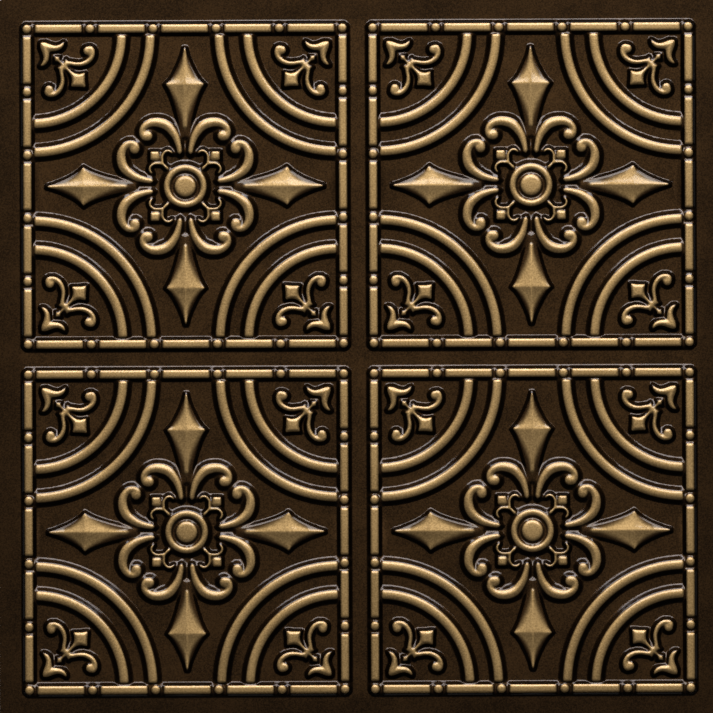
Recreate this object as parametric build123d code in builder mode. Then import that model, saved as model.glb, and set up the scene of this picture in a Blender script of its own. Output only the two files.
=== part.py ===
"""Glue-up ceiling tile: one thin plastic sheet formed into four equal panels of pressed relief."""

import os
from math import cos, radians, sin, sqrt, tan

from build123d import *

# Sheet, all sizes in millimetres
TILE_SIDE = 609.6
TILE_CORNER_RADIUS = 6.0
TILE_MARGIN = 25.4
PANEL_GAP = 25.4
PANELS_PER_SIDE = 2
SHEET_THICKNESS = 0.5

# Relief, heights measured from the front of the flat ground, widths given at the crest
RELIEF_HEIGHT = 3.5
DRAFT_ANGLE = 25.0
WALL_INSET = 0.25

# Border of bars and pointed beads on one low ridge
BARS_PER_SIDE = 5
BORDER_RIDGE_HEIGHT = 2.0
BORDER_RIDGE_CREST = 9.3
BAR_WIDTH = 6.5
BAR_TO_BEAD = 4.2
BEAD_DIAMETER = 6.6
BEAD_SIDES = 8

# Two quarter rings round each corner of a panel, placed from the border line
ARC_CENTRE_INSET = 4.95
ARC_RADIUS_DROPS = (34.0, 58.25)
ARC_WIDTH = 6.9
ARC_END_INSET = 7.55

# Four long diamonds, one on each half axis of a panel, the first two sizes taken from the border line
DIAMOND_TIP_INSET = 13.95
DIAMOND_SHOULDER_INSET = 47.0
DIAMOND_TAIL = 39.45
DIAMOND_HALF_WIDTH = 19.75
DIAMOND_HEIGHT = 5.0
DIAMOND_HOLLOW = 2.4
DIAMOND_FACETS = 3

# Rosette of ring and boss in the middle of a panel
RING_RADIUS = 17.65
GROOVE_OUTER_RADIUS = 13.4
GROOVE_INNER_RADIUS = 9.0
GROOVE_DEPTH = 1.8
POCKET_SIDES = 12

# Small pointed petals on the diagonals round the rosette
PETAL_OFFSET = 25.45
PETAL_SIDE = 9.1
PETAL_HEIGHT = 3.2

# Eight scrolls round the rosette, each a chain of arcs cut into few facets
SCROLL_ROOT_OFFSET = 3.35
SCROLL_ROOT_HEIGHT = 27.65
SCROLL_ROOT_WIDTH = 3.55
SCROLL_STEM = 7.9
SCROLL_BACK_RADIUS = 21.2
SCROLL_SHOULDER_RADIUS = 12.85
SCROLL_BALL_RADIUS = 4.85
SCROLL_HOOK_RADIUS = 2.15
SCROLL_BALL_TURN = 205.0
SCROLL_BACK_FACETS = 3
SCROLL_BALL_FACETS = 4
SCROLL_BEND_FACETS = 2

# Fleur-de-lis in each corner of a panel, along and across the diagonal from the corner bead
LEAF_HALF_OUTLINE = ((15.6, 0), (20.4, 3.5), (27.5, 7.5), (29.7, 15.1), (32.3, 11.2), (30.6, 4.5), (25.7, 0))
CURL_OUTLINE = (
    (45.9, 1.0),
    (54.3, 9.5),
    (57.9, 18.3),
    (55.8, 26.2),
    (49.8, 28.9),
    (46.0, 24.9),
    (48.6, 20.1),
    (53.3, 17.3),
    (47.9, 8.7),
    (43.9, 3.9),
)
LILY_HALF_OUTLINE = ((72.5, 0), (60.5, 9.5), (51.3, 2.4), (43.4, 1.0))
LILY_PEAK = 60.5
LILY_HEIGHT = 3.5

QUARTER_TURN = 90.0
QUARTERS = 4

panel_pitch = (TILE_SIDE - 2 * TILE_MARGIN + PANEL_GAP) / PANELS_PER_SIDE
border_line = (panel_pitch - PANEL_GAP) / 2
bead_spacing = 2 * border_line / BARS_PER_SIDE
bar_length = bead_spacing - BEAD_DIAMETER - 2 * BAR_TO_BEAD
arc_centre = border_line - ARC_CENTRE_INSET
arc_end = border_line - ARC_END_INSET
diamond_tip = border_line - DIAMOND_TIP_INSET
diamond_shoulder = border_line - DIAMOND_SHOULDER_INSET
slope = tan(radians(DRAFT_ANGLE))
spread = RELIEF_HEIGHT * slope
ridge_foot = BORDER_RIDGE_CREST + 2 * BORDER_RIDGE_HEIGHT * slope
cap_height = RELIEF_HEIGHT - BORDER_RIDGE_HEIGHT
cap_spread = cap_height * slope
crest = SHEET_THICKNESS + RELIEF_HEIGHT
wall_angle = QUARTER_TURN - DRAFT_ANGLE
bar_steps = [(0, bead_spacing * (step - (BARS_PER_SIDE - 1) / 2)) for step in range(BARS_PER_SIDE)]
bead_steps = [(0, bead_spacing * (step - BARS_PER_SIDE / 2)) for step in range(BARS_PER_SIDE)]
ground = Plane.XY.offset(SHEET_THICKNESS)
ridge_top = ground.offset(BORDER_RIDGE_HEIGHT)
relief_top = ground.offset(RELIEF_HEIGHT)
foot_align = (Align.CENTER, Align.MIN)


def facet_points(start, heading, turns):
    """Points along tangent arcs cut into facets, each arc a (radius, turn, facets) with left turns positive."""
    x, y = start
    points = [start]
    for radius, turn, facets in turns:
        step = turn / facets
        chord = 2 * radius * sin(radians(abs(step)) / 2)
        for facet in range(facets):
            direction = radians(heading + step * (facet + 0.5))
            x += chord * cos(direction)
            y += chord * sin(direction)
            points.append((x, y))
        heading += turn
    return points


def scroll_points(grow):
    """Outline of one scroll, moved outwards by grow."""
    base = SCROLL_ROOT_HEIGHT - grow
    outer_x = grow - SCROLL_ROOT_OFFSET
    inner_x = -SCROLL_ROOT_OFFSET - SCROLL_ROOT_WIDTH - grow
    hook_turn = QUARTER_TURN - SCROLL_BALL_TURN
    back = (SCROLL_BACK_RADIUS + grow, QUARTER_TURN, SCROLL_BACK_FACETS)
    shoulder = (SCROLL_SHOULDER_RADIUS + grow, QUARTER_TURN, SCROLL_BEND_FACETS)
    ball = (SCROLL_BALL_RADIUS + grow, SCROLL_BALL_TURN, SCROLL_BALL_FACETS)
    hook = (SCROLL_HOOK_RADIUS - grow, hook_turn, SCROLL_BEND_FACETS)
    top = facet_points((outer_x, SCROLL_ROOT_HEIGHT + SCROLL_STEM), QUARTER_TURN, [back, shoulder, ball, hook])
    belly = (inner_x - top[-1][0], -QUARTER_TURN, SCROLL_BEND_FACETS)
    return [(outer_x, base)] + top + facet_points(top[-1], 0, [belly])[1:] + [(inner_x, base)]


def diamond_points():
    """Right half of the diamond's outline from its tip down to its tail."""
    shares = [step / DIAMOND_FACETS for step in range(DIAMOND_FACETS + 1)]
    upper = [(share, diamond_tip + (diamond_shoulder - diamond_tip) * share) for share in shares]
    lower = [(share, DIAMOND_TAIL + (diamond_shoulder - DIAMOND_TAIL) * share) for share in shares]
    outline = upper + lower[-2::-1]
    return [(DIAMOND_HALF_WIDTH * share**DIAMOND_HOLLOW, y) for share, y in outline]


def mirrored(half_outline):
    """Closed outline made of a half outline and its reflection across the first axis."""
    return list(half_outline) + [(along, -across) for along, across in half_outline[::-1] if across]


# Footprint of the two quarter rings at one corner
with BuildSketch() as corner_rings:
    with Locations((arc_centre, arc_centre)):
        for drop in ARC_RADIUS_DROPS:
            Circle(border_line - drop + ARC_WIDTH / 2 + spread)
            Circle(border_line - drop - ARC_WIDTH / 2 - spread, mode=Mode.SUBTRACT)
    with Locations((arc_end + spread, arc_end + spread)):
        Rectangle(2 * arc_centre, 2 * arc_centre, align=(Align.MAX, Align.MAX), mode=Mode.INTERSECT)

# One scroll with drafted walls, and its mirror image
with BuildPart() as scrolls:
    with BuildSketch(ground):
        with BuildLine():
            Polyline(*scroll_points(spread), close=True)
        make_face()
    with BuildSketch(relief_top):
        with BuildLine():
            Polyline(*scroll_points(0), close=True)
        make_face()
    loft(ruled=True)
    mirror(about=Plane.YZ)

# One long diamond: hollow-sided facets rising to a point
with BuildPart() as diamond:
    with BuildSketch() as diamond_foot:
        with BuildLine():
            Polyline(*diamond_points())
            mirror(about=Plane.YZ)
        make_face()
    loft([diamond_foot.face(), Vertex(0, diamond_shoulder, DIAMOND_HEIGHT)], ruled=True)

# One bead: a low faceted point
with BuildPart() as bead:
    with BuildSketch() as bead_foot:
        RegularPolygon(BEAD_DIAMETER / 2 + cap_spread, BEAD_SIDES, major_radius=False)
    loft([bead_foot.face(), Vertex(0, 0, cap_height)], ruled=True)

# One small petal: a four-sided point
with BuildPart() as petal:
    with BuildSketch() as petal_foot:
        Rectangle(PETAL_SIDE, PETAL_SIDE)
    loft([petal_foot.face(), Vertex(0, 0, PETAL_HEIGHT)], ruled=True)

# Base leaf of the fleur-de-lis
with BuildPart() as leaf:
    with BuildSketch(ground):
        with BuildLine():
            Polyline(*mirrored(LEAF_HALF_OUTLINE), close=True)
        make_face()
        offset(amount=spread, kind=Kind.INTERSECTION)
    with BuildSketch(relief_top):
        with BuildLine():
            Polyline(*mirrored(LEAF_HALF_OUTLINE), close=True)
        make_face()
    loft(ruled=True)

# The two side curls of the fleur-de-lis
with BuildPart() as curls:
    with BuildSketch(ground):
        with BuildLine():
            Polyline(*CURL_OUTLINE, close=True)
        make_face()
        offset(amount=spread, kind=Kind.INTERSECTION)
    with BuildSketch(relief_top):
        with BuildLine():
            Polyline(*CURL_OUTLINE, close=True)
        make_face()
    loft(ruled=True)
    mirror(about=Plane.XZ)

# Middle petal of the fleur-de-lis with its stem
with BuildPart() as lily:
    with BuildSketch(ground) as lily_foot:
        with BuildLine():
            Polyline(*mirrored(LILY_HALF_OUTLINE), close=True)
        make_face()
    loft([lily_foot.face(), Vertex(LILY_PEAK, 0, SHEET_THICKNESS + LILY_HEIGHT)], ruled=True)

# One panel: flat ground with every ornament raised on it
with BuildPart() as panel:
    with BuildSketch():
        Rectangle(panel_pitch, panel_pitch)
    extrude(amount=SHEET_THICKNESS)

    # Low ridge that carries the bars and beads, its four corners cut off
    with BuildSketch(Plane.YZ.offset(-border_line)):
        with Locations((border_line, SHEET_THICKNESS), (-border_line, SHEET_THICKNESS)):
            Trapezoid(ridge_foot, BORDER_RIDGE_HEIGHT, wall_angle, align=foot_align)
    extrude(amount=2 * border_line)
    with BuildSketch(Plane.XZ.offset(-border_line)):
        with Locations((border_line, SHEET_THICKNESS), (-border_line, SHEET_THICKNESS)):
            Trapezoid(ridge_foot, BORDER_RIDGE_HEIGHT, wall_angle, align=foot_align)
    extrude(amount=2 * border_line)
    with BuildSketch(ground):
        with GridLocations(2 * border_line, 2 * border_line, 2, 2):
            RegularPolygon(ridge_foot / 2, BEAD_SIDES, major_radius=False)
    extrude(amount=BORDER_RIDGE_HEIGHT, taper=DRAFT_ANGLE)

    # Bars and beads
    with BuildSketch(ridge_top):
        with PolarLocations(border_line, QUARTERS):
            with Locations(*bar_steps):
                Rectangle(BAR_WIDTH + 2 * cap_spread, bar_length + 2 * cap_spread)
    extrude(amount=cap_height, taper=DRAFT_ANGLE)
    with Locations(ridge_top):
        with PolarLocations(border_line, QUARTERS):
            with Locations(*bead_steps):
                add(bead.part)

    # Quarter rings, scrolls and petals
    with BuildSketch(ground):
        with PolarLocations(0, QUARTERS):
            add(corner_rings.sketch)
    extrude(amount=RELIEF_HEIGHT, taper=DRAFT_ANGLE)
    with PolarLocations(0, QUARTERS):
        add(scrolls.part)
    with Locations(ground):
        with GridLocations(2 * PETAL_OFFSET, 2 * PETAL_OFFSET, 2, 2):
            add(petal.part)

    # Fleurs-de-lis, each turned towards the middle of the panel
    with PolarLocations(sqrt(2) * border_line, QUARTERS, start_angle=QUARTER_TURN / 2):
        with Locations(Location((0, 0, 0), (0, 0, 2 * QUARTER_TURN))):
            add(leaf.part)
            add(curls.part)
            add(lily.part)

    # Ring and boss, parted by a round groove
    with BuildSketch(ground):
        Circle(RING_RADIUS + spread)
    extrude(amount=RELIEF_HEIGHT, taper=DRAFT_ANGLE)
    with BuildSketch(Plane.XZ):
        with BuildLine():
            groove_middle = (GROOVE_OUTER_RADIUS + GROOVE_INNER_RADIUS) / 2
            Polyline(
                (GROOVE_INNER_RADIUS, crest),
                (groove_middle, crest - GROOVE_DEPTH),
                (GROOVE_OUTER_RADIUS, crest),
                close=True,
            )
        make_face()
    revolve(axis=Axis.Z, mode=Mode.SUBTRACT)

    # Diamonds, the same point pressed through from behind
    with Locations(ground):
        with PolarLocations(0, QUARTERS):
            add(diamond.part)
    with PolarLocations(0, QUARTERS):
        add(diamond.part, mode=Mode.SUBTRACT)

    # Hollow behind the border ridge
    with BuildSketch(Plane.YZ.offset(-border_line)):
        with Locations((border_line, 0), (-border_line, 0)):
            Trapezoid(ridge_foot - 2 * WALL_INSET, BORDER_RIDGE_HEIGHT, wall_angle, align=foot_align)
    extrude(amount=2 * border_line, mode=Mode.SUBTRACT)
    with BuildSketch(Plane.XZ.offset(-border_line)):
        with Locations((border_line, 0), (-border_line, 0)):
            Trapezoid(ridge_foot - 2 * WALL_INSET, BORDER_RIDGE_HEIGHT, wall_angle, align=foot_align)
    extrude(amount=2 * border_line, mode=Mode.SUBTRACT)

    # Hollow behind the rosette
    with BuildSketch():
        RegularPolygon(RING_RADIUS + spread - WALL_INSET, POCKET_SIDES)
    extrude(amount=RELIEF_HEIGHT - GROOVE_DEPTH, taper=DRAFT_ANGLE, mode=Mode.SUBTRACT)

# The tile: the panels side by side inside one flat margin
with BuildPart() as ceiling_tile:
    with BuildSketch():
        RectangleRounded(TILE_SIDE, TILE_SIDE, TILE_CORNER_RADIUS)
        Rectangle(PANELS_PER_SIDE * panel_pitch, PANELS_PER_SIDE * panel_pitch, mode=Mode.SUBTRACT)
    extrude(amount=SHEET_THICKNESS)
    with GridLocations(panel_pitch, panel_pitch, PANELS_PER_SIDE, PANELS_PER_SIDE):
        add(panel.part)

ceiling_tile.part.label = "ceiling_tile"

os.makedirs("parts", exist_ok=True)
export_step(ceiling_tile.part, "parts/ceiling_tile.step")
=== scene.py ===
"""Glue-up ceiling tile: a thin plastic sheet drawn over a mould, dark bronze with brass on its relief."""

import logging
import math
from contextlib import contextmanager
from dataclasses import dataclass, replace
from enum import Enum
from typing import Callable, Iterator, Sequence

import bpy
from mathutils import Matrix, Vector


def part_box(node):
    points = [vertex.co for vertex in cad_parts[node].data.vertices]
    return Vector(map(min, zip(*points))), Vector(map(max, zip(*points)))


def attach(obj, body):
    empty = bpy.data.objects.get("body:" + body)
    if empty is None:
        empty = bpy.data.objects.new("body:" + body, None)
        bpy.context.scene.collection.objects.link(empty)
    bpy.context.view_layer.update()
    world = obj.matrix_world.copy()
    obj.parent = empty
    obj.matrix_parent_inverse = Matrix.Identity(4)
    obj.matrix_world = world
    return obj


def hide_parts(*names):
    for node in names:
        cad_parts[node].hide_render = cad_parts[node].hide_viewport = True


LOG = logging.getLogger("ceiling_tile")

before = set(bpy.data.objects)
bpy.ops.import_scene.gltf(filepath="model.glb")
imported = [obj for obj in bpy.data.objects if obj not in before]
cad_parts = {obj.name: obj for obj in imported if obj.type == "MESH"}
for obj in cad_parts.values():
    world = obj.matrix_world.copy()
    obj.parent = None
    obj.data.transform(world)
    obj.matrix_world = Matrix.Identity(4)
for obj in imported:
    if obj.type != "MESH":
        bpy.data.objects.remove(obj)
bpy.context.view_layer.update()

MM = 0.001
NODE = "ceiling_tile"
BODY = "root"
PIECE_NAME = "formed_tile"

FULL_TURN = 360.0
HALF_TURN = 180.0
QUARTER_TURN = 90.0

Object = bpy.types.Object
Socket = bpy.types.NodeSocket
Point = tuple[float, float]
Triple = tuple[float, float, float]
Path = Sequence[Triple]


def deselect() -> None:
    """Leaves object mode with nothing selected."""
    if bpy.context.mode != "OBJECT":
        bpy.ops.object.mode_set(mode="OBJECT")
    bpy.ops.object.select_all(action="DESELECT")


def activate(obj: Object) -> None:
    """Selects one object alone and makes it active.

    Args:
        obj: The object that the next operators act on.
    """
    deselect()
    obj.select_set(True)
    bpy.context.view_layer.objects.active = obj


@contextmanager
def editing(obj: Object, part: str = "VERT") -> Iterator[None]:
    """Edit mode on one object, with nothing selected at the start.

    Args:
        obj: The object to edit.
        part: The kind of element that is selected, as Blender names it.

    Yields:
        Nothing; the body of the with block runs in edit mode.
    """
    activate(obj)
    bpy.ops.object.mode_set(mode="EDIT")
    bpy.ops.mesh.select_mode(type=part)
    bpy.ops.mesh.select_all(action="DESELECT")
    try:
        yield
    finally:
        bpy.ops.object.mode_set(mode="OBJECT")


def pick_points(obj: Object, test: Callable[[float, float, float], bool]) -> None:
    """Selects a mesh's points by their place, for the next edit.

    Args:
        obj: The object whose points are picked, in edit mode.
        test: Tells from x, y and z whether a point is picked.
    """
    bpy.ops.mesh.select_all(action="DESELECT")
    bpy.ops.object.mode_set(mode="OBJECT")
    for vertex in obj.data.vertices:
        vertex.select = test(*vertex.co)
    bpy.ops.object.mode_set(mode="EDIT")


def apply_modifier(obj: Object, kind: str, **settings: object) -> None:
    """Adds one modifier with its settings and applies it.

    Args:
        obj: The object to change.
        kind: The modifier's type as Blender names it.
        settings: The modifier's own properties.
    """
    activate(obj)
    modifier = obj.modifiers.new(kind.lower(), kind)
    for name, value in settings.items():
        setattr(modifier, name, value)
    bpy.ops.object.modifier_apply(modifier=modifier.name)


def settle(obj: Object) -> Object:
    """Moves an object's place, turn and size into its mesh.

    Args:
        obj: The object to settle.

    Returns:
        The same object.
    """
    activate(obj)
    bpy.ops.object.transform_apply(location=True, rotation=True, scale=True)
    return obj


def join(objects: Sequence[Object], name: str) -> Object:
    """Joins several meshes into one.

    Args:
        objects: The meshes, of which the first is kept.
        name: The joined object's name.

    Returns:
        The joined object.
    """
    activate(objects[0])
    for obj in objects[1:]:
        obj.select_set(True)
    bpy.ops.object.join()
    joined = bpy.context.object
    joined.name = name
    return joined


@dataclass(frozen=True)
class TilePlan:
    """Sizes that the whole tile shares, in millimetres, with one panel's middle as origin.

    Ornaments are carved uncut. The sheet's crests are then cut off at the tallest height, and what stands
    above the brass line is pressed to a share of its height.
    """

    side: float
    peak: float
    sheet: float = 0.5
    margin: float = 25.4
    panel_gap: float = 25.4
    corner_radius: float = 6.0
    relief: float = 3.5
    bars: int = 5
    wall_run: float = 4.25
    brass_line: float = 3.1
    uncut: float = 5.15
    tallest: float = 6.6
    pressing: float = 0.3

    @property
    def pitch(self) -> float:
        """Distance between the middles of neighbouring panels."""
        return (self.side - 2 * self.margin + self.panel_gap) / 2

    @property
    def border(self) -> float:
        """Distance from a panel's middle to the line of its beads."""
        return (self.pitch - self.panel_gap) / 2

    @property
    def bead_step(self) -> float:
        """Distance between neighbouring beads."""
        return 2 * self.border / self.bars

    @property
    def slope(self) -> float:
        """How far every wall of the relief rises on each millimetre."""
        return self.relief / self.wall_run


@dataclass
class MouldTools:
    """The few solids that the mould is carved from, all with sloping walls on the ground plane."""

    plan: TilePlan
    spin_step: float = 2.5
    weld: float = 0.001
    curve_cuts: int = 6
    end_radius: float = 0.02

    def block(self, middle: Point, size: Point, height: float) -> Object:
        """A square block.

        Args:
            middle: Its middle in plan.
            size: Its width and length at the height of the relief.
            height: How high it stands.

        Returns:
            The block.
        """
        foot = [across + 2 * self.plan.wall_run for across in size]
        shrink = [1 - 2 * height / self.plan.slope / across for across in foot]
        deselect()
        bpy.ops.mesh.primitive_cube_add(size=1.0, location=(*middle, height / 2))
        block = bpy.context.object
        block.scale = (*foot, height)
        settle(block)
        with editing(block):
            pick_points(block, lambda x, y, z: z > height / 2)
            bpy.ops.transform.resize(value=(*shrink, 1), center_override=(*middle, height))
        return block

    def dot(self, middle: Point, radius: float, height: float, sides: int = 24) -> Object:
        """A round block.

        Args:
            middle: Its middle in plan.
            radius: Its radius at the height of the relief.
            height: How high it stands.
            sides: How many sides its outline has.

        Returns:
            The block.
        """
        deselect()
        bpy.ops.mesh.primitive_cone_add(
            vertices=sides,
            radius1=radius + self.plan.wall_run,
            radius2=max(radius + self.plan.wall_run - height / self.plan.slope, 0.0),
            depth=height,
            location=(*middle, height / 2),
            rotation=(0, 0, math.pi / sides),
        )
        return settle(bpy.context.object)

    def hoop(self, middle: Point, radius: float, half_width: float, start: float, sweep: float) -> Object:
        """A ring or part of one, spun from its section.

        Args:
            middle: The ring's centre in plan.
            radius: Its radius at the middle of the section.
            half_width: Half the section's width at the height of the relief.
            start: The angle at which it starts, in degrees.
            sweep: The angle that it covers, in degrees.

        Returns:
            The ring.
        """
        height = self.plan.uncut
        foot = half_width + self.plan.wall_run
        top = foot - height / self.plan.slope
        steps = round(sweep / self.spin_step)
        deselect()
        bpy.ops.mesh.primitive_plane_add(size=1.0, rotation=(math.pi / 2, 0, 0))
        hoop = bpy.context.object
        hoop.scale = (2 * foot, height, 1)
        hoop.location = (radius, 0, height / 2)
        settle(hoop)
        with editing(hoop):
            pick_points(hoop, lambda x, y, z: z > height / 2)
            bpy.ops.transform.resize(value=(top / foot, 1, 1), center_override=(radius, 0, height))
        hoop.rotation_euler = (0, 0, math.radians(start))
        hoop.location = (*middle, 0)
        settle(hoop)
        with editing(hoop, "FACE"):
            bpy.ops.mesh.select_all(action="SELECT")
            bpy.ops.mesh.spin(steps=steps, angle=math.radians(sweep), center=(*middle, 0), axis=(0, 0, -1))
            bpy.ops.mesh.select_all(action="SELECT")
            bpy.ops.mesh.remove_doubles(threshold=self.weld)
            bpy.ops.mesh.normals_make_consistent(inside=False)
        return hoop

    def stroke(self, path: Path) -> Object:
        """A ridge drawn along a smooth path like a tent, to be cut off at the mould's height later.

        Args:
            path: Points of its middle line, each with half the width of its top there.

        Returns:
            The ridge.
        """
        run = self.plan.wall_run
        course = [(x, y, half + run) for x, y, half in path]
        course.insert(0, self.beyond(course[1], course[0]))
        course.append(self.beyond(course[-2], course[-1]))
        deselect()
        bpy.ops.curve.primitive_bezier_curve_add()
        ridge = bpy.context.object
        curve = ridge.data
        spline = curve.splines[0]
        spline.radius_interpolation = "LINEAR"
        spline.bezier_points.add(len(course) - len(spline.bezier_points))
        for point, (x, y, radius) in zip(spline.bezier_points, course):
            point.co = (x, y, 0)
            point.handle_left_type = "AUTO"
            point.handle_right_type = "AUTO"
            point.radius = radius
        curve.bevel_depth = 1.0
        curve.bevel_resolution = 0
        curve.resolution_u = self.curve_cuts
        curve.use_fill_caps = True
        bpy.ops.object.convert(target="MESH")
        ridge.scale = (1, 1, self.plan.slope)
        return settle(ridge)

    def beyond(self, before: Triple, last: Triple) -> Triple:
        """The point on the ground that a ridge's end runs down to.

        Args:
            before: The last point but one with its radius.
            last: The last point with its radius.

        Returns:
            The point beyond the last one, with hardly any radius.
        """
        step_x = last[0] - before[0]
        step_y = last[1] - before[1]
        share = last[2] / math.hypot(step_x, step_y)
        return (last[0] + share * step_x, last[1] + share * step_y, self.end_radius)


@dataclass
class Border:
    """The frame of bars and beads on a low ridge round a panel."""

    plan: TilePlan
    ridge_height: float = 1.9
    ridge_half: float = 3.95
    ridge_run: float = 2.35
    bar_half: float = 3.6
    bar_to_bead: float = 2.9
    bead_radius: float = 4.0
    bead_sides: int = 8
    steepness: float = 2.0

    def build(self) -> list[Object]:
        """Carves the ridge, bars and beads of two sides.

        Returns:
            The solids.
        """
        plan = self.plan
        tools = MouldTools(replace(plan, wall_run=plan.wall_run / self.steepness))
        low = MouldTools(replace(plan, wall_run=self.ridge_run, relief=self.ridge_height))
        line = plan.border
        bar_length = plan.bead_step - 2 * self.bead_radius - 2 * self.bar_to_bead
        bar = (2 * self.bar_half, bar_length)
        solids = [low.dot((line, line), self.ridge_half, self.ridge_height)]
        solids.append(low.block((0, line), (2 * line, 2 * self.ridge_half), self.ridge_height))
        solids.append(low.block((line, 0), (2 * self.ridge_half, 2 * line), self.ridge_height))
        for step in range(plan.bars // 2 + 1):
            along = step * plan.bead_step
            solids.append(tools.block((line, along), bar, plan.uncut))
            solids.append(tools.block((along, line), bar[::-1], plan.uncut))
            beyond = along + plan.bead_step / 2
            # A set, because the two sides share the bead in the corner
            for place in {(line, beyond), (beyond, line)}:
                solids.append(tools.dot(place, self.bead_radius, plan.uncut, self.bead_sides))
        return solids


@dataclass
class CornerRings:
    """The two quarter rings round a panel's corner."""

    plan: TilePlan
    centre_inset: float = 4.95
    radius_drops: tuple[float, float] = (34.0, 58.25)
    half_width: float = 3.45
    end_inset: float = 5.2

    def build(self) -> list[Object]:
        """Spins both rings.

        Returns:
            The solids.
        """
        plan = self.plan
        tools = MouldTools(plan)
        centre = plan.border - self.centre_inset
        short = self.end_inset - self.centre_inset
        solids = []
        for drop in self.radius_drops:
            radius = plan.border - drop
            trim = math.degrees(math.asin(short / radius))
            start = HALF_TURN + trim
            sweep = QUARTER_TURN - 2 * trim
            solids.append(tools.hoop((centre, centre), radius, self.half_width, start, sweep))
        return solids


@dataclass
class Diamonds:
    """The long diamonds on a panel's two half axes, each a hollow-sided point with four ridges.

    Pairs of sizes are for a diamond's outer and inner half. The brass sizes give the outline that the paint
    reaches. The foot sizes give the outline on the ground, which the tips cut short.
    """

    plan: TilePlan
    shoulder_inset: float = 47.0
    brass_side: float = 18.0
    brass_ends: tuple[float, float] = (30.6, 37.0)
    brass_hollows: tuple[float, float] = (0.56, 0.68)
    foot_side: float = 20.2
    foot_ends: tuple[float, float] = (44.6, 83.0)
    foot_hollow: float = 0.7
    foot_rise: float = 25.0
    tips: tuple[float, float] = (32.6, 47.0)
    flank_height: float = 2.65
    hollowness: float = 2.0
    tip_slope: float = 1.7
    spine_rise: float = 0.8
    spine_slope: float = 0.6
    blunt: float = 0.35
    margin: float = 7.0
    step: float = 0.7

    def build(self) -> list[Object]:
        """Shapes the diamond above the middle and the one beside it.

        Returns:
            The solids.
        """
        upright = self.shape()
        sideways = upright.copy()
        sideways.data = upright.data.copy()
        bpy.context.collection.objects.link(sideways)
        sideways.rotation_euler = (0, 0, -math.pi / 2)
        return [upright, settle(sideways)]

    def shape(self) -> Object:
        """Makes the upright diamond from a flat grid that is pushed up by its height.

        Returns:
            The diamond.
        """
        shoulder = self.plan.border - self.shoulder_inset
        width = 2 * (self.foot_side + self.margin)
        top = shoulder + self.tips[0] + self.margin
        bottom = shoulder - self.tips[1] - self.margin
        deselect()
        bpy.ops.mesh.primitive_grid_add(
            x_subdivisions=round(width / self.step),
            y_subdivisions=round((top - bottom) / self.step),
            size=1.0,
        )
        diamond = bpy.context.object
        diamond.scale = (width, top - bottom, 1)
        diamond.location = (0, (top + bottom) / 2, 0)
        settle(diamond)
        for vertex in diamond.data.vertices:
            vertex.co.z = self.height(abs(vertex.co.x), vertex.co.y - shoulder)
        return diamond

    def height(self, across: float, along: float) -> float:
        """Height of the diamond at one place.

        Args:
            across: Distance from the long axis.
            along: Distance above the cross ridge, less than nought below it.

        Returns:
            The height above the ground, below nought outside the diamond.
        """
        plan = self.plan
        line = plan.brass_line
        end = 0 if along > 0 else 1
        off = math.hypot(along, self.blunt)
        beside = math.hypot(across, self.blunt)
        inner = self.share(beside / self.brass_side, off / self.brass_ends[end], self.brass_hollows[end])
        outer = self.share(beside / self.foot_side, off / self.foot_ends[end], self.foot_hollow)
        rise = plan.peak - plan.sheet - self.flank_height
        limit = 1 / (1 - ((line - self.flank_height) / rise) ** (1 / self.hollowness))
        facet = self.flank_height + rise * max(1 - inner / limit, 0.0) ** self.hollowness
        to_tip = min(self.brass_ends[end] - off, self.brass_side - beside)
        spine = line + min(self.spine_rise, to_tip) - self.spine_slope * min(beside, off)
        wall = self.foot_rise * (1 - outer)
        tip = self.tip_slope * (self.tips[end] - off)
        return min(max(facet, spine), wall, tip)

    @staticmethod
    def share(beside: float, ahead: float, hollow: float) -> float:
        """How far a place lies towards a hollow-sided outline.

        Args:
            beside: Distance from the long axis as a share of the outline's half width.
            ahead: Distance from the cross ridge as a share of the outline's length.
            hollow: How straight the outline's sides are, from nought to one.

        Returns:
            Nought in the middle and one on the outline.
        """
        return (beside**hollow + ahead**hollow) ** (1 / hollow)


@dataclass
class Rosette:
    """The ring and boss in a panel's middle with the small florets on the diagonals."""

    plan: TilePlan
    ring_radius: float = 15.55
    ring_half: float = 2.15
    boss_radius: float = 8.6
    boss_sides: int = 48
    steepness: float = 2.2
    stem: Path = ((14.9, 14.9, 1.5), (17.0, 17.0, 1.2), (19.4, 19.4, 1.0))
    curl: Path = (
        (19.2, 19.3, 1.0),
        (19.1, 22.0, 1.0),
        (19.3, 24.6, 1.0),
        (18.4, 27.6, 1.05),
        (16.2, 29.7, 1.1),
        (13.6, 30.0, 1.1),
        (11.5, 28.6, 1.0),
        (10.6, 27.4, 0.7),
    )
    petal_middle: float = 25.75
    petal_half: float = 3.75

    def build(self) -> list[Object]:
        """Carves the ring, the boss and one floret.

        Returns:
            The solids.
        """
        plan = self.plan
        tools = MouldTools(plan)
        steep = MouldTools(replace(plan, wall_run=plan.wall_run / self.steepness))
        solids = [tools.dot((0, 0), self.boss_radius, plan.uncut, self.boss_sides)]
        solids.append(tools.hoop((0, 0), self.ring_radius, self.ring_half, 0, FULL_TURN))
        petal = (2 * self.petal_half, 2 * self.petal_half)
        solids.append(steep.block((self.petal_middle, self.petal_middle), petal, plan.uncut))
        for path in (self.stem, self.curl, swapped(self.curl)):
            solids.append(steep.stroke(path))
        return solids


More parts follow.
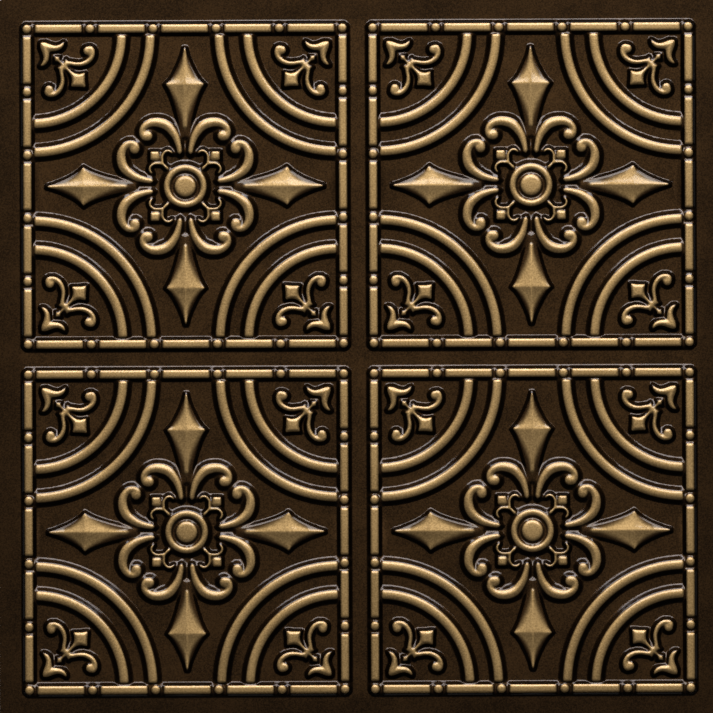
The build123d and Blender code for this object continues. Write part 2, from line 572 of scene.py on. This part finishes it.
@dataclass
class Scrolls:
    """The scrolls that spring from the rosette on both sides of each half axis."""

    plan: TilePlan
    body: Path = (
        (4.6, 28.5, 1.7),
        (4.9, 31.6, 1.8),
        (5.8, 35.5, 2.1),
        (7.9, 41.7, 2.6),
        (10.7, 46.4, 3.1),
        (14.0, 50.3, 3.5),
        (17.4, 52.5, 3.6),
        (20.7, 53.6, 3.6),
        (24.2, 54.1, 3.4),
        (27.8, 53.9, 3.2),
        (31.1, 52.8, 2.8),
        (33.9, 51.0, 2.4),
        (35.8, 48.7, 2.1),
        (36.5, 46.0, 1.9),
        (35.8, 43.4, 2.2),
        (34.0, 41.8, 2.8),
        (31.9, 42.3, 3.2),
    )
    root_points: int = 5
    ball: Point = (31.6, 42.6)
    ball_radius: float = 3.8

    def build(self) -> list[Object]:
        """Draws the two scrolls of one quarter and those just across its axes.

        Returns:
            The solids.
        """
        tools = MouldTools(self.plan)
        across = tuple((-x, y, half) for x, y, half in self.body[: self.root_points])
        solids = []
        for path in (self.body, across):
            solids.append(tools.stroke(path))
            solids.append(tools.stroke(swapped(path)))
        for place in (self.ball, self.ball[::-1]):
            solids.append(tools.dot(place, self.ball_radius, self.plan.uncut))
        return solids


@dataclass
class FleurDeLis:
    """The lily in a panel's corner: base leaf, bud, middle petal and two side curls."""

    plan: TilePlan
    steepness: float = 1.5
    leaf: Path = (
        (120.4, 120.4, 2.2),
        (117.8, 118.8, 3.0),
        (114.9, 117.6, 3.0),
        (111.5, 117.0, 2.5),
        (108.5, 117.0, 2.2),
        (105.6, 118.0, 1.9),
        (103.3, 119.9, 1.3),
        (102.0, 122.1, 0.4),
    )
    bud: Path = (
        (102.4, 102.4, 0.9),
        (104.6, 104.6, 0.7),
        (106.6, 106.6, 0.9),
        (108.2, 108.2, 1.4),
        (110.0, 110.0, 0.5),
    )
    bud_bar: Path = ((105.9, 109.8, 0.3), (107.9, 107.9, 1.2), (109.8, 105.9, 0.3))
    curl: Path = (
        (101.2, 102.0, 1.2),
        (99.6, 103.9, 1.7),
        (96.6, 104.2, 1.5),
        (92.8, 103.5, 1.5),
        (88.8, 103.3, 1.6),
        (84.9, 104.2, 1.8),
        (80.9, 106.5, 1.9),
        (78.3, 109.7, 1.8),
        (77.5, 113.5, 1.7),
        (78.7, 116.6, 1.6),
        (81.2, 117.0, 1.8),
    )
    barb: Path = ((100.3, 103.6, 1.2), (100.3, 106.1, 0.8), (100.2, 107.8, 0.3))
    curl_ball: Point = (82.1, 114.7)
    curl_ball_radius: float = 3.5
    petal: Path = (
        (101.6, 101.6, 1.4),
        (98.7, 98.7, 1.0),
        (96.2, 96.2, 1.2),
        (94.2, 94.2, 2.0),
        (92.6, 92.6, 3.7),
        (91.5, 91.5, 6.0),
        (90.5, 90.5, 8.9),
        (88.8, 88.8, 6.4),
        (86.8, 86.8, 3.6),
        (85.3, 85.3, 1.8),
        (83.9, 83.9, 0.4),
    )

    def build(self) -> list[Object]:
        """Draws the lily.

        Returns:
            The solids.
        """
        tools = MouldTools(replace(self.plan, wall_run=self.plan.wall_run / self.steepness))
        solids = []
        for path in (self.leaf, self.curl, self.barb):
            solids.append(tools.stroke(path))
            solids.append(tools.stroke(swapped(path)))
        for path in (self.bud, self.bud_bar, self.petal):
            solids.append(tools.stroke(path))
        for place in (self.curl_ball, self.curl_ball[::-1]):
            solids.append(tools.dot(place, self.curl_ball_radius, self.plan.uncut))
        return solids


def swapped(path: Path) -> Path:
    """The same path mirrored about the panel's diagonal.

    Args:
        path: Points with half widths.

    Returns:
        The mirrored points.
    """
    return tuple((y, x, half) for x, y, half in path)


@dataclass
class FormedSheet:
    """The warm sheet drawn over a quarter of the mould, then repeated over the tile.

    A diamond's crest isn't pressed down in the free zones. Each has its half width and the distance from the
    panel's middle at which it starts.
    """

    plan: TilePlan
    mesh_step: float = 0.35
    overlap: float = 6.0
    drop: float = 200.0
    free_zones: tuple[Point, Point] = ((22.0, 59.0), (5.0, 48.0))
    free_end: float = 11.0
    softness: int = 26
    foot_height: float = 0.25
    foot_softness: int = 3
    flat: float = 0.02
    shaded_from: float = 0.12
    front_triangles: int = 10500
    back_triangles: int = 1600
    back_sink: float = 0.35
    height_weight: float = 3.0
    weld: float = 0.02
    seam: float = 0.25
    corner_cuts: int = 6

    def build(self, mould: Object) -> Object:
        """Forms the sheet over the mould and makes the whole tile of it.

        Args:
            mould: The carved quarter of a panel with its ground.

        Returns:
            The finished sheet, in metres.
        """
        drawn = self.draw(mould)
        front, back = (self.twin(drawn) for _ in range(2))
        self.sink(back)
        self.thin(front, self.front_triangles)
        self.thin(back, self.back_triangles)
        self.keep_shading(front, drawn)
        bpy.data.objects.remove(drawn)
        for face in (front, back):
            self.repeat(face)
            self.add_margin(face)
        front.location = (0, 0, self.plan.sheet)
        settle(front)
        settle(back)
        return self.close(front, back)

    def draw(self, mould: Object) -> Object:
        """Lays a fine grid on the mould and lets it settle into round corners.

        Args:
            mould: The carved quarter of a panel with its ground.

        Returns:
            The drawn quarter.
        """
        plan = self.plan
        size = plan.pitch / 2 + self.overlap
        count = round(size / self.mesh_step)
        middle = size / 2 - self.overlap
        deselect()
        bpy.ops.mesh.primitive_grid_add(
            x_subdivisions=count, y_subdivisions=count, size=size, location=(middle, middle, self.drop)
        )
        sheet = settle(bpy.context.object)
        sheet.name = PIECE_NAME
        apply_modifier(
            sheet,
            "SHRINKWRAP",
            target=mould,
            wrap_method="PROJECT",
            use_project_z=True,
            use_negative_direction=True,
            use_positive_direction=False,
        )
        # Crests are cut off and pressed into low domes, except on the diamonds
        with editing(sheet):
            pick_points(sheet, lambda x, y, z: z > plan.tallest and not self.on_diamond(x, y))
            bpy.ops.transform.resize(value=(1, 1, 0), center_override=(0, 0, plan.tallest))
            pick_points(sheet, lambda x, y, z: z > plan.brass_line and not self.on_diamond(x, y))
            bpy.ops.transform.resize(value=(1, 1, plan.pressing), center_override=(0, 0, plan.brass_line))
        self.soften(sheet, self.softness)
        # The lowest part of each foot is laid flat again
        with editing(sheet):
            pick_points(sheet, lambda x, y, z: z < self.foot_height)
            bpy.ops.transform.resize(value=(1, 1, 0), center_override=(0, 0, 0))
        self.soften(sheet, self.foot_softness)
        # What lies beyond the panel's two axes is cut away
        with editing(sheet):
            for normal in ((1, 0, 0), (0, 1, 0)):
                bpy.ops.mesh.select_all(action="SELECT")
                bpy.ops.mesh.bisect(plane_co=(0, 0, 0), plane_no=normal, clear_inner=True)
        return sheet

    @staticmethod
    def twin(drawn: Object) -> Object:
        """Copies the drawn quarter with a mesh of its own.

        Args:
            drawn: The drawn quarter.

        Returns:
            The copy.
        """
        activate(drawn)
        bpy.ops.object.duplicate()
        return bpy.context.object

    def sink(self, back: Object) -> None:
        """Makes the hollows of the back shallower, so that the sloping walls keep their thickness.

        Args:
            back: The back of one quarter.
        """
        with editing(back):
            pick_points(back, lambda x, y, z: z < self.back_sink)
            bpy.ops.transform.resize(value=(1, 1, 0), center_override=(0, 0, self.back_sink))
            bpy.ops.mesh.select_all(action="SELECT")
            bpy.ops.transform.translate(value=(0, 0, -self.back_sink))

    def keep_shading(self, face: Object, drawn: Object) -> None:
        """Gives a thinned quarter the smooth shading of the drawn one, with the ground kept flat.

        Args:
            face: The thinned quarter.
            drawn: The drawn quarter.
        """
        for obj in (drawn, face):
            activate(obj)
            bpy.ops.object.shade_smooth()
        apply_modifier(face, "WEIGHTED_NORMAL", mode="FACE_AREA")
        raised = face.vertex_groups.new(name="raised")
        high = [point.index for point in face.data.vertices if point.co.z > self.shaded_from]
        raised.add(high, 1.0, "REPLACE")
        apply_modifier(
            face,
            "DATA_TRANSFER",
            object=drawn,
            use_loop_data=True,
            data_types_loops={"CUSTOM_NORMAL"},
            loop_mapping="POLYINTERP_NEAREST",
            vertex_group=raised.name,
        )
        face.vertex_groups.clear()

    def on_diamond(self, x: float, y: float) -> bool:
        """Tells whether a place belongs to a diamond, which isn't pressed down.

        Args:
            x: Place across the panel.
            y: Place up the panel.

        Returns:
            True on the two diamonds of the quarter.
        """
        across, along = sorted((abs(x), abs(y)))
        farthest = self.plan.border - self.free_end
        return any(across < half and start < along < farthest for half, start in self.free_zones)

    @staticmethod
    def soften(sheet: Object, times: int) -> None:
        """Evens out heights only, so that the grid keeps its plan.

        Args:
            sheet: The drawn sheet.
            times: How often heights are evened out.
        """
        apply_modifier(sheet, "SMOOTH", factor=1.0, iterations=times, use_x=False, use_y=False, use_z=True)

    def thin(self, face: Object, triangles: int) -> None:
        """Thins the mesh, with heights made larger meanwhile so that the feet of the relief stay clear.

        Args:
            face: The front or the back of one quarter.
            triangles: How many triangles are left.
        """
        face.scale = (1, 1, self.height_weight)
        settle(face)
        apply_modifier(face, "DECIMATE", ratio=triangles / (2 * len(face.data.polygons)))
        face.scale = (1, 1, 1 / self.height_weight)
        settle(face)
        half = self.plan.pitch / 2
        # The ground is made flat and the seams straight, without the faces that stand on a seam
        with editing(face):
            pick_points(face, lambda x, y, z: z < self.flat)
            bpy.ops.transform.resize(value=(1, 1, 0), center_override=(0, 0, 0))
            for edge in (0.0, half):
                pick_points(face, lambda x, y, z: abs(x - edge) < self.seam)
                bpy.ops.transform.resize(value=(0, 1, 1), center_override=(edge, 0, 0))
                bpy.ops.mesh.delete(type="FACE")
                pick_points(face, lambda x, y, z: abs(y - edge) < self.seam)
                bpy.ops.transform.resize(value=(1, 0, 1), center_override=(0, edge, 0))
                bpy.ops.mesh.delete(type="FACE")
            bpy.ops.mesh.select_all(action="SELECT")
            bpy.ops.mesh.dissolve_degenerate(threshold=self.weld)

    def repeat(self, face: Object) -> None:
        """Mirrors a quarter to a panel, and the panel to the tile.

        Args:
            face: The front or the back of one quarter.
        """
        mirror = {"use_axis": (True, True, False), "use_mirror_merge": True, "merge_threshold": self.weld}
        apply_modifier(face, "MIRROR", **mirror)
        face.location = (self.plan.pitch / 2, self.plan.pitch / 2, 0)
        settle(face)
        apply_modifier(face, "MIRROR", **mirror)

    def add_margin(self, face: Object) -> None:
        """Lays a square with round corners round the panels and fills the flat margin between.

        Args:
            face: The front or the back of the four panels.
        """
        plan = self.plan
        with editing(face):
            bpy.ops.mesh.primitive_plane_add(size=plan.side)
            bpy.ops.mesh.bevel(offset=plan.corner_radius, segments=self.corner_cuts, affect="VERTICES")
            pick_points(face, lambda x, y, z: max(abs(x), abs(y)) > plan.pitch + self.weld)
            bpy.ops.mesh.delete(type="ONLY_FACE")
            bpy.ops.mesh.select_mode(type="EDGE")
            bpy.ops.mesh.select_non_manifold(extend=False)
            bpy.ops.mesh.fill()

    def close(self, front: Object, back: Object) -> Object:
        """Joins front and back along the tile's rim and puts the sheet into metres.

        Args:
            front: The whole front.
            back: The whole back.

        Returns:
            The closed sheet.
        """
        sheet = join([front, back], PIECE_NAME)
        with editing(sheet, "EDGE"):
            bpy.ops.mesh.select_non_manifold(extend=False)
            bpy.ops.mesh.bridge_edge_loops()
            bpy.ops.mesh.select_all(action="SELECT")
            bpy.ops.mesh.normals_make_consistent(inside=False)
        sheet.scale = (MM, MM, MM)
        settle(sheet)
        return sheet


class Coat(Enum):
    """Colours of the sheet: each coat from dark to light, and the shadow on steep walls."""

    GROUND = ((0.0135, 0.0068, 0.0024), (0.055, 0.0278, 0.0096))
    BRASS = ((0.25, 0.16, 0.064), (0.46, 0.305, 0.13))
    SHADOW = (0.0, 0.0, 0.0)


class NodeTree:
    """Adds and links the nodes of one shader tree.

    The sockets of a mix node share their names, so those for colours are known by number.
    """

    mix_factor: int = 0
    mix_colours: tuple[int, int] = (6, 7)
    mix_result: int = 2

    def __init__(self, tree: bpy.types.NodeTree) -> None:
        """Keeps the tree.

        Args:
            tree: The tree of a material or a node group.
        """
        self.tree = tree

    def add(
        self,
        kind: str,
        inputs: dict[str | int, object] | None = None,
        **settings: object,
    ) -> bpy.types.Node:
        """Adds one node.

        Args:
            kind: The node's type without its ShaderNode prefix.
            inputs: Values or sockets for the node's inputs.
            settings: The node's own properties.

        Returns:
            The node.
        """
        node = self.tree.nodes.new("ShaderNode" + kind)
        for name, value in settings.items():
            setattr(node, name, value)
        for name, value in (inputs or {}).items():
            if isinstance(value, Socket):
                self.tree.links.new(value, node.inputs[name])
            else:
                node.inputs[name].default_value = value
        return node

    def maths(self, operation: str, *values: float | Socket) -> Socket:
        """Works out one sum.

        Args:
            operation: The kind of sum as Blender names it.
            values: Numbers or sockets.

        Returns:
            The result.
        """
        return self.add("Math", dict(enumerate(values)), operation=operation).outputs[0]

    def ramp(self, value: Socket, low: float, high: float, to: float = 0.0) -> Socket:
        """A soft step between two values.

        Args:
            value: What is measured.
            low: Where the step starts.
            high: Where it ends.
            to: The result below the step; it is one above.

        Returns:
            The result.
        """
        inputs = {"Value": value, "From Min": low, "From Max": high, "To Min": to, "To Max": 1.0}
        return self.add("MapRange", inputs, interpolation_type="SMOOTHSTEP").outputs["Result"]

    def blend(self, factor: Socket, first: Triple | Socket, second: Triple | Socket) -> Socket:
        """Mixes two colours.

        Args:
            factor: How much of the second colour there is.
            first: A colour or a socket.
            second: A colour or a socket.

        Returns:
            The mixed colour.
        """
        mix = self.tree.nodes.new("ShaderNodeMix")
        mix.data_type = "RGBA"
        self.tree.links.new(factor, mix.inputs[self.mix_factor])
        for number, colour in zip(self.mix_colours, (first, second)):
            socket = mix.inputs[number]
            if isinstance(colour, Socket):
                self.tree.links.new(colour, socket)
            else:
                socket.default_value = (*colour, 1.0)
        return mix.outputs[self.mix_result]


@dataclass(frozen=True)
class Mottle:
    """The shared mottling: a fine sprayed grain over slow clouds."""

    grain_detail: float = 3.0
    grain_roughness: float = 0.6
    cloud_scale: float = 25.0
    cloud_detail: float = 2.0
    cloud_share: float = 0.4
    dark_below: float = 0.44
    light_above: float = 0.96

    def build(self) -> bpy.types.NodeTree:
        """Makes the node group.

        Returns:
            The group, which turns a place and a scale into an amount.
        """
        group = bpy.data.node_groups.new("mottle", "ShaderNodeTree")
        group.interface.new_socket("Vector", in_out="INPUT", socket_type="NodeSocketVector")
        group.interface.new_socket("Scale", in_out="INPUT", socket_type="NodeSocketFloat")
        group.interface.new_socket("Amount", in_out="OUTPUT", socket_type="NodeSocketFloat")
        tree = NodeTree(group)
        given = group.nodes.new("NodeGroupInput")
        result = group.nodes.new("NodeGroupOutput")
        place, scale = (given.outputs[name] for name in ("Vector", "Scale"))
        fine = {"Detail": self.grain_detail, "Roughness": self.grain_roughness}
        grain = tree.add("TexNoise", {"Vector": place, "Scale": scale, **fine}).outputs[0]
        slow = {"Scale": self.cloud_scale, "Detail": self.cloud_detail}
        clouds = tree.add("TexNoise", {"Vector": place, **slow}).outputs[0]
        both = tree.maths("MULTIPLY_ADD", clouds, self.cloud_share, grain)
        group.links.new(tree.ramp(both, self.dark_below, self.light_above), result.inputs["Amount"])
        return group


@dataclass(frozen=True)
class TileFinish:
    """Dark bronze plastic with brass wiped over all that stands high, under a clear gloss, with painted
    shade on its steep walls and on its margin near the tile's outer edge.
    """

    brass_line: float
    margin_start: float
    margin_fade: float = 12.0
    margin_shade: float = 0.7
    feather: float = 0.3
    ground_grain: float = 900.0
    brass_grain: float = 700.0
    roughness: float = 0.5
    gloss: float = 0.8
    gloss_roughness: float = 0.12
    steep: float = 0.80
    level: float = 0.97
    wall_shade: float = 0.25
    unwiped: float = 0.55
    wiped: float = 0.8
    grain_strength: float = 0.06
    grain_depth: float = 0.2

    def build(self) -> bpy.types.Material:
        """Makes the material.

        Returns:
            The material.
        """
        material = bpy.data.materials.new("brass_on_bronze")
        material.use_nodes = True
        tree = NodeTree(material.node_tree)
        shader = material.node_tree.nodes["Principled BSDF"]
        place = tree.add("TexCoord")
        across, along, height = tree.add("SeparateXYZ", {0: place.outputs["Object"]}).outputs
        upward = tree.add("SeparateXYZ", {0: place.outputs["Normal"]}).outputs["Z"]
        mottle = Mottle().build()
        grains = []
        for scale in (self.ground_grain, self.brass_grain):
            node = tree.add("Group", node_tree=mottle)
            material.node_tree.links.new(place.outputs["Object"], node.inputs["Vector"])
            node.inputs["Scale"].default_value = scale
            grains.append(node.outputs["Amount"])
        ground = tree.blend(grains[0], *Coat.GROUND.value)
        brass = tree.blend(grains[1], *Coat.BRASS.value)
        # Painted shade: steep walls are blended towards black by how far their normal leans from upright,
        # standing in for the dark they reflect; the same mask also thins the clear gloss there
        shade = tree.ramp(upward, self.steep, self.level, self.wall_shade)
        # Painted shade: the margin darkens towards the tile's outer edge, standing in for the light falling
        # off there
        reach = tree.maths("MAXIMUM", tree.maths("ABSOLUTE", across), tree.maths("ABSOLUTE", along))
        margin_end = self.margin_start + self.margin_fade
        rim = tree.ramp(reach, margin_end * MM, self.margin_start * MM, self.margin_shade)
        wall = tree.blend(tree.maths("MULTIPLY", shade, rim), Coat.SHADOW.value, ground)
        clear = tree.maths("MULTIPLY", shade, self.gloss)
        low = (self.brass_line - self.feather) * MM
        high = (self.brass_line + self.feather) * MM
        raised = tree.ramp(height, low, high)
        facing = tree.ramp(upward, self.unwiped, self.wiped)
        colour = tree.blend(tree.maths("MULTIPLY", raised, facing), wall, brass)
        grain = {"Height": grains[0], "Strength": self.grain_strength, "Distance": self.grain_depth * MM}
        bump = tree.add("Bump", grain)
        links = material.node_tree.links
        links.new(colour, shader.inputs["Base Color"])
        links.new(clear, shader.inputs["Coat Weight"])
        links.new(bump.outputs["Normal"], shader.inputs["Normal"])
        shader.inputs["Metallic"].default_value = 1.0
        shader.inputs["Roughness"].default_value = self.roughness
        shader.inputs["Coat Roughness"].default_value = self.gloss_roughness
        return material


@dataclass(frozen=True)
class Lamp:
    """A soft square lamp that looks at the tile's middle, in metres and watts."""

    name: str
    place: Triple
    size: Point
    power: float
    tint: Triple

    def hang(self) -> None:
        """Hangs the lamp."""
        turn = Vector(self.place).to_track_quat("Z", "Y").to_euler()
        deselect()
        bpy.ops.object.light_add(type="AREA", location=self.place, rotation=turn)
        lamp = bpy.context.object
        lamp.name = self.name
        lamp.data.shape = "RECTANGLE"
        lamp.data.size, lamp.data.size_y = self.size
        lamp.data.energy = self.power
        lamp.data.color = self.tint


@dataclass
class Studio:
    """Floor and lamps in metres, and a camera whose view is in millimetres."""

    plan: TilePlan
    lens: float = 300.0
    sensor: float = 36.0
    view_width: float = 602.6
    view_middle: Point = (-1.985, 1.61)
    view_turn: float = -0.24
    floor_size: float = 8.0
    floor_drop: float = 0.0002
    floor_colour: Triple = (0.8, 0.8, 0.8)
    sky_colour: Triple = (1.0, 1.0, 1.0)
    sky_strength: float = 0.04
    broad: Lamp = Lamp("broad_lamp", (0.3, 3.0, 5.7), (5.0, 2.4), 265.0, (1.0, 0.99, 0.96))
    strip: Lamp = Lamp("strip_lamp", (0.0, 4.6, 3.4), (8.0, 1.3), 425.0, (1.0, 0.96, 1.0))

    def build(self) -> None:
        """Sets the floor, the light and the camera."""
        self.floor()
        self.lamps()
        self.camera()
        bpy.context.scene.view_settings.view_transform = "Standard"

    def floor(self) -> None:
        """Lays a plain pale floor under the tile."""
        deselect()
        bpy.ops.mesh.primitive_plane_add(size=self.floor_size, location=(0, 0, -self.floor_drop))
        floor = bpy.context.object
        floor.name = "floor"
        material = bpy.data.materials.new("pale_floor")
        material.use_nodes = True
        shader = material.node_tree.nodes["Principled BSDF"]
        shader.inputs["Base Color"].default_value = (*self.floor_colour, 1.0)
        floor.data.materials.append(material)

    def lamps(self) -> None:
        """Sets a faint sky, and hangs a broad lamp overhead and a strip of light on the top side."""
        world = bpy.data.worlds.new("studio")
        world.use_nodes = True
        background = world.node_tree.nodes["Background"]
        background.inputs["Color"].default_value = (*self.sky_colour, 1.0)
        background.inputs["Strength"].default_value = self.sky_strength
        bpy.context.scene.world = world
        for lamp in (self.broad, self.strip):
            lamp.hang()

    def camera(self) -> None:
        """Looks straight down on the tile, as the photograph does."""
        distance = self.view_width * self.lens / self.sensor * MM
        deselect()
        bpy.ops.object.camera_add(
            location=(self.view_middle[0] * MM, self.view_middle[1] * MM, distance + self.plan.sheet * MM),
            rotation=(0, 0, math.radians(self.view_turn)),
        )
        camera = bpy.context.object
        camera.name = "camera"
        camera.data.lens = self.lens
        camera.data.sensor_width = self.sensor
        bpy.context.scene.camera = camera


def carve(plan: TilePlan) -> Object:
    """Carves a quarter of a panel's mould with its flat ground.

    Args:
        plan: The tile's sizes.

    Returns:
        The mould.
    """
    solids = []
    for ornament in (Border, CornerRings, Diamonds, Rosette, Scrolls, FleurDeLis):
        made = ornament(plan).build()
        LOG.info("carved %s: %d solids", ornament.__name__, len(made))
        solids.extend(made)
    deselect()
    bpy.ops.mesh.primitive_plane_add(size=2 * plan.pitch)
    solids.append(bpy.context.object)
    return join(solids, "mould")


def main() -> None:
    """Builds the tile, its finish and the studio."""
    low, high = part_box(NODE)
    plan = TilePlan(side=(high[0] - low[0]) / MM, peak=(high[2] - low[2]) / MM)
    mould = carve(plan)
    tile = FormedSheet(plan).build(mould)
    bpy.data.objects.remove(mould)
    finish = TileFinish(brass_line=plan.sheet + plan.brass_line, margin_start=plan.side / 2 - plan.margin)
    tile.data.materials.append(finish.build())
    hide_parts(NODE)
    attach(tile, BODY)
    LOG.info("piece %s: %d faces", tile.name, len(tile.data.polygons))
    Studio(plan).build()


if __name__ == "__main__":
    logging.basicConfig(level=logging.INFO)
    main()
